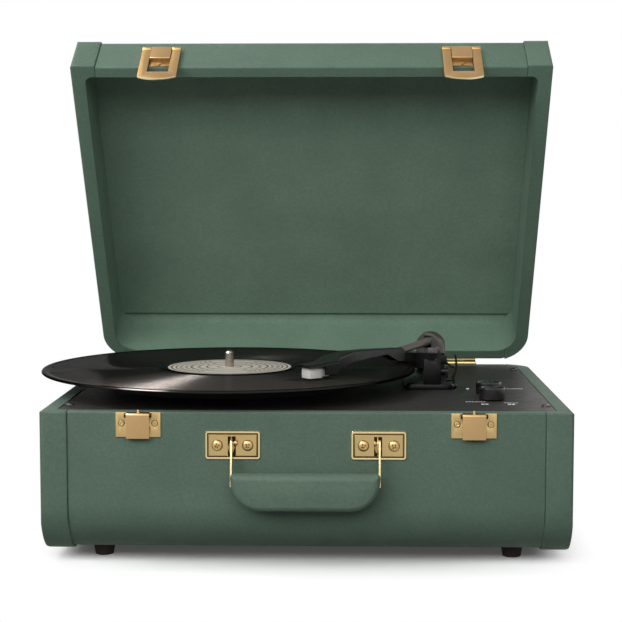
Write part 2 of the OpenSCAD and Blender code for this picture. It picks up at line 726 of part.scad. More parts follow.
// Cross-section of the arm's cover: upright sides, eased top corners
function arch(w, z0, z1, c) = [[-w / 2, z0], [w / 2, z0], [w / 2, z1 - c], [w / 2 - 0.3 * c, z1 - 0.3 * c],
    [w / 2 - c, z1], [c - w / 2, z1], [0.3 * c - w / 2, z1 - 0.3 * c], [-w / 2, z1 - c]];

// One station of the arm at distance s from the pivot: [s, width, bottom, top]
module station(p) translate([0, -p[0], 0]) rotate([90, 0, 0]) linear_extrude(0.4)
    polygon(arch(p[1], p[2], p[3], 1.8));

// Head frame: stylus at the origin, cartridge pointing to -Y
module on_head() translate([0, -arm_length, 0]) rotate([0, 0, -head_offset]) children();

housing = [[52, 8.8, 17.4, 27.6], [56, 8.8, 17.4, 28.4], [62, 8.8, 18.2, 28.9], [79.6, 8.8, 25.3, 30]];
cover = [[80, 8.8, 25.3, 30], [106, 10.4, 25.3, 31.7], [136, 14, 24.6, 32.8], [160, 17.4, 21.5, 30.8]];

// Tapered cover of the arm that widens into the head, hollow below
module arm_shell() color(BLACK) on_pivot() difference() {
    union() {
        for (i = [0:2]) hull() {
            station(cover[i]);
            station(cover[i + 1]);
        }
        hull() {
            station(cover[3]);
            on_head() station([-24, 18, 19.6, 29.4]);
            on_head() station([-12, 18, 19.6, 28.6]);
        }
        on_head() hull() {
            station([-12.5, 18, 25.9, 28.6]);
            station([3.4, 15, 25.9, 27.4]);
        }
        // finger lift
        on_head() block([-8.6, -7, 26.2], [-4.2, -2, 27.2]);
        on_head() block([-8.6, -8, 26.2], [-4.2, -6.8, 29.6]);
    }
    on_head() block([-7.2, -1.6, 10], [7.2, 26, 25.9]);
    hull() {
        station([112, 6.4, 20, 30]);
        station([162, 13, 18, 28]);
    }
}

// Pick-up body below the head
module cartridge() color(CREAM) on_pivot() on_head() {
    block([-5.2, -1.2, 17.2], [5.2, 10.4, 25.9]);
    block([-4, 10.4, 18], [4, 18, 25.9]);
}

module stylus() color([0.75, 0.2, 0.15]) on_pivot() on_head() {
    block([-1.7, 2.6, 16.6], [1.7, 8, 17.2]);
    rod_y(0.3, -0.4, 2.6 + eps, 0, 16.85);
    translate([0, 0, stylus_tip]) cylinder(r1 = 0.08, r2 = 0.3, h = 16.85 - stylus_tip);
}

// ---------- hinges, latches and handle ----------

// Half of a hinge in closed-case coordinates: up is 1 for the lid's leaf and -1 for the base's,
// and runs lists the stretches of knuckle along the pin
module hinge_leaf(up, runs, bore) for (side = [-1, 1]) translate([side * hinge_x, 0, 0]) difference() {
    union() {
        along_y(case_d, case_d + leaf_t)
            corners([-leaf_w / 2, up > 0 ? 3 : -leaf_h], [leaf_w / 2, up > 0 ? leaf_h : -3],
                up > 0 ? [0, 0, 3, 3] : [3, 3, 0, 0]);
        difference() {
            along_x(-leaf_w / 2, leaf_w / 2) polygon([[case_d, up * 8], [case_d + leaf_t, up * 8],
                [hinge_y + knuckle_r * 0.3, up * knuckle_r * 0.9], [hinge_y, 0],
                [case_d + 2.2, up * 1.2], [case_d, up * 3]]);
            rod_x(knuckle_r + 0.2, -leaf_w, leaf_w, hinge_y, hinge_z);
        }
        for (run = runs) {
            rod_x(knuckle_r, run[0], run[1], hinge_y, hinge_z);
            along_x(run[0], run[1]) polygon([[case_d, up * 8], [case_d + leaf_t, up * 8],
                [hinge_y + knuckle_r * 0.3, up * knuckle_r * 0.9], [hinge_y, 0],
                [case_d + 2.2, up * 1.2], [case_d, up * 3]]);
        }
    }
    rod_x(bore, -leaf_w, leaf_w, hinge_y, hinge_z);
    for (dx = [-13, 0, 13]) rod_y(screw_r, case_d - cut, case_d + 2 * cut + leaf_t, dx, up * leaf_h * 0.6);
}

module hinge_base_leaves() color(BRASS) place()
    hinge_leaf(-1, [[-leaf_w / 2, -knuckle_w / 2 - 0.2], [knuckle_w / 2 + 0.2, leaf_w / 2]], hinge_pin_r);
module hinge_lid_leaves() color(BRASS) opened()
    hinge_leaf(1, [[-knuckle_w / 2, knuckle_w / 2]], hinge_pin_r + running);

module hinge_pins() color(BRASS) place() for (side = [-1, 1]) translate([side * hinge_x, 0, 0])
    rod_x(hinge_pin_r, -leaf_w / 2 - 0.8, leaf_w / 2 + 0.8, hinge_y, hinge_z);

module hinge_screws(up) for (side = [-1, 1], dx = [-13, 0, 13])
    translate([side * hinge_x + dx, case_d + leaf_t, up * leaf_h * 0.6]) rotate([-90, 0, 0])
        screw(2.6, 0.9, screw_r, 8);
module hinge_base_screws() color(BRASS) place() hinge_screws(-1);
module hinge_lid_screws() color(BRASS) opened() hinge_screws(1);

// Plate with a locating tab on its upper edge and two ears that carry the lever's pin
module latch_plates() color(BRASS) place() for (x = [-latch_x, latch_x]) translate([x, 0, 0]) difference() {
    union() {
        block([-latch_plate[0] / 2, -1.2, -latch_plate[1] - 0.3], [latch_plate[0] / 2, 0, -0.3]);
        block([-0.7, -1.2, -0.4], [0.7, 0, 1.4]);
        for (ear = [-1, 1]) translate([ear * (lever_w / 2 + 0.8), 0, 0]) {
            rod_x(1.6, -0.6, 0.6, latch_axis[0], latch_axis[1]);
            block([-0.6, latch_axis[0], latch_axis[1] - 1.6], [0.6, -1.1, latch_axis[1] + 1.6]);
        }
        rod_x(latch_pin_r, -lever_w / 2 - 1.4, lever_w / 2 + 1.4, latch_axis[0], latch_axis[1]);
    }
    for (dx = [-12, 12]) rod_y(screw_r, -3, cut, dx, -8.3);
}

module latch_screws() color(BRASS) place() for (side = [-1, 1], dx = [-12, 12])
    translate([side * latch_x + dx, -1.2, -8.3]) rotate([90, 0, 0]) screw(2, 0.5, screw_r, 8);

module latch_lever(side) color(COPPER) place() translate([side * latch_x, 0, 0]) difference() {
    union() {
        rod_x(1.6, -lever_w / 2, lever_w / 2, latch_axis[0], latch_axis[1]);
        along_x(-lever_w / 2, lever_w / 2) corners([-4.6, -19.3], [-3.2, latch_axis[1]], [0.6, 0.3, 0, 0]);
    }
    rod_x(latch_pin_r + running, -20, 20, latch_axis[0], latch_axis[1]);
}
module latch_lever_left() latch_lever(-1);
module latch_lever_right() latch_lever(1);

// Plate on the lid's front wall with a raised knuckle that the hasp's rod turns in
module hasp_plates() color(COPPER) opened() for (x = [-latch_x, latch_x]) translate([x, 0, 0]) difference() {
    union() {
        block([-hasp_plate_w / 2, -1, 0.5], [hasp_plate_w / 2, 0, 26.6]);
        along_x(-hasp_plate_w / 2, hasp_plate_w / 2)
            corners([-4.6, 7.6], [-0.9, 26.6], [0.8, 0, 0, 1.6]);
        rod_y(2.1, -1.6, 0, 0, 4.5);
        rod_y(screw_r, -1, 7, 0, 4.5);
    }
    rod_x(hasp_rod_r + running, -20, 20, hasp_axis[0], hasp_axis[1]);
    block([-1.2, -2, 0], [1.2, cut, 2.2]);
}

// Loop of the latch: two side bars, a bowed end bar with the lever's window above it, and a top rod
module hasp(side) color(COPPER) opened() translate([side * latch_x, 0, 0]) {
    bar = (hasp_w - hasp_plate_w - 0.6) / 2;
    along_y(-3.6, -1.8) difference() {
        union() {
            translate([-hasp_w / 2, -19]) square([hasp_w, hasp_axis[1] + 19]);
            intersection() {
                translate([0, 6.3]) circle(30.7);
                translate([-hasp_w / 2, -30]) square([hasp_w, 20]);
            }
        }
        translate([-hasp_w / 2 + bar, -13.2]) square([hasp_w - 2 * bar, 60]);
    }
    for (edge = [-1, 1]) translate([edge * (hasp_w - bar) / 2, 0, 0])
        rod_x(2, -bar / 2, bar / 2, hasp_axis[0], hasp_axis[1]);
    rod_x(hasp_rod_r, -hasp_w / 2 + 1, hasp_w / 2 - 1, hasp_axis[0], hasp_axis[1]);
}
module hasp_left() hasp(-1);
module hasp_right() hasp(1);

// Pressed plate: raised field, two upright slots and a bulged strap between them with the pin's bore
module handle_brackets() color(BRASS) place()
    for (side = [-1, 1]) translate([side * bracket_x, 0, 0]) difference() {
        union() {
            along_y(-1.3, 0) corners([-bracket[0] / 2, bracket_z - bracket[1] / 2],
                [bracket[0] / 2, bracket_z + bracket[1] / 2], [2, 2, 2, 2]);
            along_y(-2.2, -1.3) corners([1.6 - bracket[0] / 2, bracket_z + 1.6 - bracket[1] / 2],
                [bracket[0] / 2 - 1.6, bracket_z + bracket[1] / 2 - 1.6], [1, 1, 1, 1]);
            rod_x(2.9, -strap_w / 2, strap_w / 2, handle_axis[0], handle_axis[1]);
            block([-strap_w / 2, handle_axis[0], handle_axis[1] - 2.9],
                [strap_w / 2, -1, handle_axis[1] + 2.9]);
        }
        for (slot = [-1, 1]) translate([slot * (strap_w + slot_width) / 2, 0, 0])
            block([-slot_width / 2, -3, handle_axis[1] - 6.6], [slot_width / 2, cut, handle_axis[1] + 6.4]);
        rod_x(handle_pin_r + running, -4, 4, handle_axis[0], handle_axis[1]);
        for (dx = [-11, 11]) rod_y(screw_r, -3, cut, dx, bracket_z);
    }

module bracket_screws() color(BRASS) place() for (side = [-1, 1], dx = [-11, 11])
    translate([side * bracket_x + dx, -2.2, bracket_z]) rotate([90, 0, 0]) screw(3.7, 2.2, screw_r, 9);

// One of the handle's flat strips, from its pin down into the grip. side is -1 or 1
module handle_strip(side) translate([side * (bracket_x + strap_w / 2 + slot_width / 2 - 0.4), 0, 0])
    along_x(-arm_t / 2, arm_t / 2) strip(handle_axis, [grip_y, grip_z - 8], 5.2);

// Steel strips, each with the headed pin that hooks behind its bracket's strap
module handle_arms() color(BRASS) place() for (side = [-1, 1]) {
    handle_strip(side);
    translate([side * bracket_x, 0, 0]) mirror([side < 0 ? 1 : 0, 0, 0]) {
        rod_x(handle_pin_r, -2, strap_w / 2 + 0.9, handle_axis[0], handle_axis[1]);
        rod_x(1.9, -2.6, -0.9, handle_axis[0], handle_axis[1]);
    }
}

// Outline of the grip: sloped shoulders where the strips enter, well rounded lower corners
module grip_outline(inset) along_y(-0.5, 0.5) intersection() {
    corners([inset - grip_w / 2, grip_z - grip_h + inset], [grip_w / 2 - inset, grip_z - inset],
        [18.5 - inset, 18.5 - inset, 0.5, 0.5]);
    polygon([for (p = [[-1, -40, 0], [-1, -7, 0], [-1, 0, 2.3], [1, 0, 2.3], [1, -7, 0], [1, -40, 0]])
        [p[0] * (grip_w / 2 - inset - p[2]), grip_z + p[1]]]);
}

module handle_grip() color(GREEN) place() difference() {
    hull($fn = 32) for (y = [-1, 1]) translate([0, grip_y, 0]) {
        translate([0, y * (grip_t / 2 - 3.2), 0]) grip_outline(0);
        translate([0, y * (grip_t / 2 - 0.5), 0]) grip_outline(3);
    }
    for (side = [-1, 1]) handle_strip(side);
}

// ---------- rear sockets ----------

module rear_panel() color(BLACK) place() difference() {
    along_y(case_d - panel_t, case_d) panel_outline();
    rod_y(headphone_r, case_d - 5, case_d + cut, headphone_x, panel_z);
    rod_y(dc_r, case_d - 5, case_d + cut, dc_x, panel_z);
}

module rca_sockets() color(STEEL) place() for (x = rca_x) difference() {
    union() {
        rod_y(6, case_d, case_d + 1.5, x, panel_z);
        rod_y(4.15, case_d + 1.5, case_d + 8.5, x, panel_z);
    }
    rod_y(1.6, case_d + 2, case_d + 10, x, panel_z);
}

module headphone_socket() color(BLACK) place() difference() {
    rod_y(headphone_r, case_d - 14, case_d + 2, headphone_x, panel_z);
    rod_y(1.75, case_d - 12.5, case_d + 3, headphone_x, panel_z);
}

module dc_inlet() color(BLACK) place() {
    difference() {
        rod_y(dc_r, case_d - 12, case_d + 1.2, dc_x, panel_z);
        rod_y(2.75, case_d - 10, case_d + 3, dc_x, panel_z);
    }
    rod_y(1, case_d - 10 - eps, case_d - 1, dc_x, panel_z);
}

base_shell();
base_cheek_left();
base_cheek_right();
deck_plate();
deck_screws();
bottom_panel();
bottom_screws();
speaker_baskets();
speaker_cones();
feet();
handle_brackets();
bracket_screws();
latch_plates();
latch_screws();
hinge_base_leaves();
hinge_pins();
hinge_base_screws();
rear_panel();
rca_sockets();
headphone_socket();
dc_inlet();
circuit_board();
potentiometers();
motor();
drive_belt();
spindle_bearing();
arm_base();
arm_rest();
power_light();
lid_shell();
lid_cheek_left();
lid_cheek_right();
lid_lining();
hinge_lid_leaves();
hinge_lid_screws();
hasp_plates();
hasp_left();
hasp_right();
latch_lever_left();
latch_lever_right();
handle_grip();
handle_arms();
platter();
slip_mat();
spindle();
record();
record_label();
motor_pulley();
arm_turret();
arm_tube();
arm_shell();
cartridge();
stylus();
rest_clip();
cue_lever();
cue_lift();
volume_knob();
function_knob();
speed_switch();
autostop_switch();
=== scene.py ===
"""Look of the turntable record player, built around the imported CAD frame."""
import math
import random

import bmesh
import bpy
from mathutils import Matrix, Vector


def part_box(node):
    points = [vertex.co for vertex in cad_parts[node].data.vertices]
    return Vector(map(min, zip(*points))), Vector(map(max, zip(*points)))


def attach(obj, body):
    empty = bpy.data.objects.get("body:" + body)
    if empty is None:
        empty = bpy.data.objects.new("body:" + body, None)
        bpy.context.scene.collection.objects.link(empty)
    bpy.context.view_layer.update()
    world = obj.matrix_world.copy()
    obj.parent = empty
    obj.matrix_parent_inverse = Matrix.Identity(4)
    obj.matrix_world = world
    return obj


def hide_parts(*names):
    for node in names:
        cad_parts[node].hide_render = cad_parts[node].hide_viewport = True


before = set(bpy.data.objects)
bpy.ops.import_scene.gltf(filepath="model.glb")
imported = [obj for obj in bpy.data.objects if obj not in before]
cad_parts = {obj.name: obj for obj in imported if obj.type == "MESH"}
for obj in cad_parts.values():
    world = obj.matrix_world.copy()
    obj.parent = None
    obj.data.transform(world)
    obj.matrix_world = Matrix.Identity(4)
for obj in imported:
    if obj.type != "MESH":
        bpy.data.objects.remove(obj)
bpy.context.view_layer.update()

MM = 0.001
UP = Vector((0, 0, 1))
FORWARD = Vector((0, -1, 0))
BACK = Vector((0, 1, 0))

# sizes in millimetres. The case's drawing frame has x from its middle, y from its front face, z from its rim
CASE_WIDTH = 386.0
CASE_DEPTH = 302.0
CHEEK_WIDTH = 20.0
LATCH_X = 121.0
BRACKET_X = 52.7
ARM_PIVOT = (101.2, 222.0)
# where the drawing frame stands in the row frame, and the lid's hinge axis in the drawing frame, in metres
CASE = Vector((66, -142.4, -16)) * MM
HINGE = Vector((0, 307, 0)) * MM
# the open lid's turn about its hinge
LID_OPEN = math.radians(56.8)
LID_TURN = Matrix.Rotation(-LID_OPEN, 3, "X")
# the arm's direction in plan, turned in from straight forward
ARM_SWING = math.radians(31.96)


def at(x, y, z):
    """A point of the case in millimetres, in the row frame in metres."""
    return Vector((x, y, z)) * MM + CASE


def srgb(r, g, b):
    """Display values from 0 to 255 as a linear colour."""
    def linear(v):
        v /= 255
        return v / 12.92 if v <= 0.04045 else ((v + 0.055) / 1.055) ** 2.4
    return (linear(r), linear(g), linear(b))


# ---------------------------------------------------------------- node trees

class Tree:
    """Short ways to add nodes to a tree. Values are numbers, colours, vectors or sockets."""

    def __init__(self, tree):
        self.tree = tree

    def put(self, socket, value):
        """Link the input to a socket, or write the value in it."""
        if isinstance(value, bpy.types.NodeSocket):
            self.tree.links.new(value, socket)
        elif isinstance(value, tuple) and len(value) == 3 and len(socket.default_value) == 4:
            socket.default_value = (*value, 1)
        else:
            socket.default_value = value

    def node(self, kind, *values, **settings):
        """A new node with its settings, and its first inputs given these values."""
        n = self.tree.nodes.new(kind)
        for key, value in settings.items():
            setattr(n, key, value)
        for socket, value in zip(n.inputs, values):
            self.put(socket, value)
        return n

    def out(self, kind, *values, **settings):
        """The first output of a new node."""
        return self.node(kind, *values, **settings).outputs[0]

    def coordinates(self):
        """Places on the object, which go with it as it moves."""
        return self.node("ShaderNodeTexCoord").outputs["Object"]

    def math(self, kind, a, b=0.0):
        return self.out("ShaderNodeMath", a, b, operation=kind)

    def product(self, *factors):
        """All factors multiplied."""
        result = factors[0]
        for factor in factors[1:]:
            result = self.math("MULTIPLY", result, factor)
        return result

    def distance(self, a, b):
        """How far one number is from another."""
        return self.math("ABSOLUTE", self.math("SUBTRACT", a, b))

    def vector(self, kind, a, b=(0, 0, 0)):
        return self.out("ShaderNodeVectorMath", a, b, operation=kind)

    def scaled(self, vector, factor):
        n = self.node("ShaderNodeVectorMath", vector, operation="SCALE")
        self.put(n.inputs["Scale"], factor)
        return n.outputs[0]

    def split(self, vector):
        return self.node("ShaderNodeSeparateXYZ", vector).outputs

    def span(self, value, lo, hi, to_lo=0.0, to_hi=1.0, kind="LINEAR"):
        """The value, moved from one range to another and held at its ends."""
        return self.out("ShaderNodeMapRange", value, lo, hi, to_lo, to_hi, interpolation_type=kind)

    def seen(self):
        """1 for what the camera sees, straight, mirrored or through something."""
        ray = self.node("ShaderNodeLightPath").outputs
        direct = self.math("MAXIMUM", ray["Is Camera Ray"], ray["Is Glossy Ray"])
        return self.math("MAXIMUM", direct, ray["Is Transmission Ray"])


# ---------------------------------------------------------------- camera, light, floor

# lens in millimetres, place in metres, turn in degrees: found from the case's straight edges in the picture
CAMERA_LENS = 88.3
CAMERA_PLACE = (0.0978, -1.2309, 0.1469)
CAMERA_TURN = (85.29, 0, 1.47)

# name, azimuth from the camera's side, elevation, distance, size, power
LAMPS = (
    ("key_left", -40, 28, 1.8, (0.9, 0.9), 10.5),
    ("key_right", 40, 28, 1.8, (0.9, 0.9), 1.5),
    ("front", 0, 26, 2.0, (1.6, 0.7), 10.4),
    ("front_high", 0, 46, 1.7, (1.4, 0.8), 5.6),
    ("side_left", -95, 52, 1.5, (0.28, 0.28), 2.0),
    ("back", 180, 34, 2.0, (1.6, 0.7), 5.0),
    ("side_right", 100, 30, 2.0, (0.9, 0.7), 1.6),
)
# a small lamp that only shows in gloss: it draws the bright wedge over the record's grooves
GLEAM = ("gleam", -73, 52, 1.5, (0.4, 0.4), 34)
LAMP_AIM = Vector((0.066, 0.0, 0.02))
WHITE = (1.0, 1.0, 1.0)
AMBIENT = 0.05

FLOOR_HALF = 6.0
# the floor's grey for light that isn't seen, and the strength of the painted glow that lifts its deepest
# shadow
FLOOR_PLAIN = (0.22, 0.22, 0.22)
FLOOR_LIFT = ((1.0, 0.98, 0.96), 0.065)
# half sizes of the rounded rectangle that the floor's reach is measured by: reach is 1 on it
FLOOR_SHAPE = (0.172, 0.151)
# the floor's brightness under the case, painted lower there as a shadow, and around it, the reaches where
# these lie, and those between which it turns to white
FLOOR_GAIN = (0.85, 1.7)
FLOOR_NEAR = (0.68, 1.08)
FLOOR_FADE = (1.0, 1.3)


def build_camera():
    scene = bpy.context.scene
    scene.view_settings.view_transform = "Standard"
    data = bpy.data.cameras.new("camera")
    data.lens = CAMERA_LENS
    data.sensor_width = 36
    camera = add_object("camera", data)
    camera.location = CAMERA_PLACE
    camera.rotation_euler = [math.radians(a) for a in CAMERA_TURN]
    scene.camera = camera


def add_lamp(name, azimuth, elevation, distance, size, power):
    """A soft box that looks at the middle of the case."""
    az, el = math.radians(azimuth), math.radians(elevation)
    away = Vector((math.sin(az) * math.cos(el), -math.cos(az) * math.cos(el), math.sin(el)))
    light = bpy.data.lights.new(name, "AREA")
    light.shape = "RECTANGLE"
    light.size, light.size_y = size
    light.energy = power
    o = add_object(name, light)
    o.location = LAMP_AIM + away * distance
    o.rotation_euler = away.to_track_quat("Z", "Y").to_euler()
    return o


def build_world():
    """A soft even light, seen as plain white."""
    world = bpy.data.worlds.new("world")
    bpy.context.scene.world = world
    world.use_nodes = True
    t = Tree(world.node_tree)
    t.tree.nodes.clear()
    soft = t.out("ShaderNodeBackground", WHITE, AMBIENT)
    white = t.out("ShaderNodeBackground", WHITE, 1.0)
    t.node("ShaderNodeOutputWorld", t.out("ShaderNodeMixShader", t.seen(), soft, white))


def build_floor():
    """Pale floor: it takes the shadow near the case, painted deeper there and lifted by a painted glow, and
    runs out to pure white around it.
    """
    s, z = FLOOR_HALF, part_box("feet")[0].z
    mesh = bpy.data.meshes.new("floor")
    mesh.from_pydata([(-s, -s, z), (s, -s, z), (s, s, z), (-s, s, z)], [], [(0, 1, 2, 3)])
    material = bpy.data.materials.new("floor")
    material.use_nodes = True
    t = Tree(material.node_tree)
    t.tree.nodes.clear()

    def fourth(v):
        return t.math("POWER", t.math("POWER", v, 2.0), 2.0)

    away = t.vector("SUBTRACT", t.coordinates(), (CASE.x, 0.0, z))
    x, y, _ = t.split(t.vector("MULTIPLY", away, (1 / FLOOR_SHAPE[0], 1 / FLOOR_SHAPE[1], 0.0)))
    reach = t.math("POWER", t.math("ADD", fourth(x), fourth(y)), 0.25)
    # painted shadow: the floor is darker near the case
    gain = t.span(reach, *FLOOR_NEAR, *FLOOR_GAIN, kind="SMOOTHSTEP")
    # a painted glow lifts the deepest shadow
    lift = t.out("ShaderNodeEmission", *FLOOR_LIFT)
    near = t.out("ShaderNodeAddShader", t.out("ShaderNodeBsdfDiffuse", gain), lift)
    far = t.out("ShaderNodeEmission", WHITE, 1.0)
    seen = t.out("ShaderNodeMixShader", t.span(reach, *FLOOR_FADE, kind="SMOOTHSTEP"), near, far)
    plain = t.out("ShaderNodeBsdfDiffuse", FLOOR_PLAIN)
    t.node("ShaderNodeOutputMaterial", t.out("ShaderNodeMixShader", t.seen(), plain, seen))
    mesh.materials.append(material)
    add_object("floor", mesh)


# ---------------------------------------------------------------- materials

class Paint(Tree):
    """A Principled material under construction."""

    def __init__(self, name, **principled):
        self.material = bpy.data.materials.new(name)
        self.material.use_nodes = True
        super().__init__(self.material.node_tree)
        self.shader = self.tree.nodes["Principled BSDF"]
        self.coords = self.coordinates()
        for key, value in principled.items():
            self.set(key.replace("_", " ").title().replace("Ior", "IOR"), value)

    def set(self, name, value):
        """Give one of the shader's own inputs a value."""
        self.put(self.shader.inputs[name], value)

    def noise(self, scale, detail=2.0, where=None):
        n = self.node("ShaderNodeTexNoise", where or self.coords)
        n.inputs["Scale"].default_value = scale
        n.inputs["Detail"].default_value = detail
        return n.outputs[0]

    def cells(self, scale, smooth=None):
        n = self.node("ShaderNodeTexVoronoi", self.coords)
        n.inputs["Scale"].default_value = scale
        if smooth is not None:
            n.feature = "SMOOTH_F1"
            n.inputs["Smoothness"].default_value = smooth
        return n.outputs["Distance"]

    def uneven(self, scale, lo, hi, detail=2.0):
        """A noise that wanders between two values."""
        return self.span(self.noise(scale, detail), 0.3, 0.7, lo, hi)

    def blend(self, share, a, b):
        n = self.node("ShaderNodeMix", share, data_type="RGBA")
        self.put(n.inputs[6], a)
        self.put(n.inputs[7], b)
        return n.outputs[2]

    def bump(self, height, depth):
        n = self.node("ShaderNodeBump")
        n.inputs["Distance"].default_value = depth
        n.inputs["Strength"].default_value = 1.0
        self.put(n.inputs["Height"], height)
        self.put(self.shader.inputs["Normal"], n.outputs[0])


def leatherette(name, color, depth=0.00012, inside=None):
    """Coated cloth: fine pebbled grain with a soft uneven tone, and inside the lid a lighter copy of its
    colour, painted light.
    """
    p = Paint(name, sheen_weight=0.02, sheen_roughness=0.4, specular_ior_level=0.16)
    grain = p.cells(1250, smooth=0.4)
    # the pebbles are lighter on top and darker in the creases between them
    creases_darker = p.span(grain, 0.0, 0.9, 1.05, 0.94)
    shade = p.product(p.uneven(22, 0.93, 1.06, 3.0), p.uneven(420, 0.93, 1.07), creases_darker)
    p.set("Base Color", p.scaled(p.blend(lid_inside(p), color, inside) if inside else color, shade))
    p.set("Roughness", p.uneven(60, 0.56, 0.68))
    p.bump(p.math("SUBTRACT", p.product(p.noise(900), 0.6), grain), depth)
    return p.material


def lid_inside(p):
    """1 on the inner faces of the lid's walls, where the lighter copy is painted as light, found where the
    closed lid would have them.
    """
    wall, rim, top = 6.0 * MM, 0.8, 44
    closed = p.node("ShaderNodeVectorRotate", p.coords, rotation_type="X_AXIS")
    closed.inputs["Center"].default_value = HINGE + CASE
    closed.inputs["Angle"].default_value = LID_OPEN
    x, y, z = p.split(closed.outputs[0])
    middle = at(0, CASE_DEPTH / 2, 0)
    sides = p.math("SUBTRACT", p.distance(x, middle.x), CASE_WIDTH / 2 * MM - wall)
    ends = p.math("SUBTRACT", p.distance(y, middle.y), CASE_DEPTH / 2 * MM - wall)
    within = p.math("LESS_THAN", p.math("MAXIMUM", sides, ends), 0.0)
    below = p.math("LESS_THAN", z, at(0, 0, top).z)
    above = p.math("GREATER_THAN", z, at(0, 0, rim).z)
    return p.product(within, below, above)


def metal(name, color, rough, brushed=None, grained=False):
    """Plated or bare metal: uneven polish, with fine scratches along one axis or a hammered grain."""
    p = Paint(name, metallic=1.0)
    dull = tuple(c * 0.86 for c in color)
    p.set("Base Color", p.blend(p.span(p.noise(55, 3.0), 0.35, 0.75, 0, 0.6), color, dull))
    p.set("Roughness", p.math("ADD", rough, p.product(p.math("SUBTRACT", p.noise(700), 0.5), 0.08)))
    if brushed:
        scale = [2600.0] * 3
        scale["xyz".index(brushed)] = 60.0
        mapping = p.node("ShaderNodeMapping", p.coords)
        mapping.inputs["Scale"].default_value = scale
        p.bump(p.noise(1.0, where=mapping.outputs[0]), 0.000012)
    elif grained:
        p.bump(p.noise(1100, 3.0), 0.00006)
    else:
        p.bump(p.noise(1500), 0.000006)
    return p.material


def plastic(name, color, rough, grain=0.00002, scale=1600, spec=0.5):
    """Moulded plastic: eroded tool texture and slightly uneven gloss."""
    p = Paint(name, specular_ior_level=spec)
    pale = tuple(min(1, c * 1.25 + 0.002) for c in color)
    p.set("Base Color", p.blend(p.span(p.noise(70, 3.0), 0.4, 0.75, 0, 0.5), color, pale))
    p.set("Roughness", p.uneven(160, rough - 0.04, rough + 0.05))
    p.bump(p.noise(scale), grain)
    return p.material


def two_tone(name, near, far, reach, rough):
    """Painted tube that ends in a black housing at this distance from the arm's pivot."""
    p = Paint(name, specular_ior_level=0.22)
    along = (-math.sin(ARM_SWING), -math.cos(ARM_SWING), 0)
    n = p.node("ShaderNodeVectorMath", p.coords, along, operation="DOT_PRODUCT")
    place = p.math("SUBTRACT", n.outputs["Value"], at(*ARM_PIVOT, 0).dot(Vector(along)))
    far_end = p.span(place, (reach - 0.2) * MM, (reach + 0.2) * MM)
    p.set("Base Color", p.scaled(p.blend(far_end, near, far), p.uneven(70, 0.94, 1.06, 3.0)))
    p.set("Roughness", p.uneven(160, rough - 0.03, rough + 0.05))
    p.bump(p.noise(1600), 0.00002)
    return p.material


def rubber(name, color):
    p = Paint(name, specular_ior_level=0.25)
    p.set("Base Color", p.blend(p.noise(300), color, tuple(c * 1.5 for c in color)))
    p.set("Roughness", p.uneven(90, 0.68, 0.85))
    p.bump(p.cells(1800), 0.00004)
    return p.material


def felt(name, color):
    p = Paint(name, roughness=0.95, specular_ior_level=0.1)
    p.set("Base Color", p.blend(p.noise(1400, 3.0), color, tuple(c * 2.0 for c in color)))
    p.bump(p.noise(2200, 3.0), 0.0001)
    return p.material


def polar(p):
    """Radius in millimetres and angle about the spindle's axis."""
    x, y, _ = p.split(p.coords)
    r = p.math("SQRT", p.math("ADD", p.product(x, x), p.product(y, y)))
    return p.product(r, 1 / MM), p.math("ARCTAN2", y, x)


def vinyl(name):
    """Pressed record: light meets the walls of its grooves, which lean to either side by about 45 degrees."""
    p = Paint(name, metallic=0.85, specular_ior_level=0.0, specular_tint=(0.012, 0.011, 0.01))
    r, _ = polar(p)
    # the grooves' inner and outer radius, and the smooth gaps between the tracks
    inner, outer, between = 59, 145, (76.0, 93.0, 109.5, 127.0)
    playing = p.product(p.span(r, inner - 1, inner + 1), p.span(r, outer + 1, outer - 1))
    gaps = [p.span(p.distance(r, gap), 0.3, 0.8, 0.7, 1) for gap in between]
    loud = p.span(p.math("SINE", p.math("ADD", p.product(r, 2.3), p.math("SINE", r))), -1, 1, 0.88, 1.0)
    grooved = p.product(playing, *gaps, loud)
    p.set("Base Color", p.blend(grooved, (0.024, 0.022, 0.021), (0.066, 0.0585, 0.0535)))
    p.set("Roughness", p.span(grooved, 0, 1, 0.16, 0.26))
    # each groove, told by its radius, has one wall that is seen: its side and its lean are drawn by chance
    chance = p.node("ShaderNodeTexWhiteNoise", noise_dimensions="1D")
    p.put(chance.inputs["W"], p.product(r, 977.0))
    lean = p.span(chance.outputs["Value"], 0, 1, 0.7, 1.3)
    coin = p.math("GREATER_THAN", p.math("FRACT", p.product(chance.outputs["Value"], 37.0)), 0.5)
    side = p.math("SUBTRACT", p.product(coin, 2.0), 1.0)
    outward = p.vector("NORMALIZE", p.vector("MULTIPLY", p.coords, (1, 1, 0)))
    outward = p.out("ShaderNodeVectorTransform", outward, vector_type="VECTOR",
                    convert_from="OBJECT", convert_to="WORLD")
    flat = p.node("ShaderNodeNewGeometry").outputs["Normal"]
    wall = p.vector("ADD", p.scaled(outward, p.product(lean, side, playing)), flat)
    p.set("Normal", p.vector("NORMALIZE", wall))
    return p.material


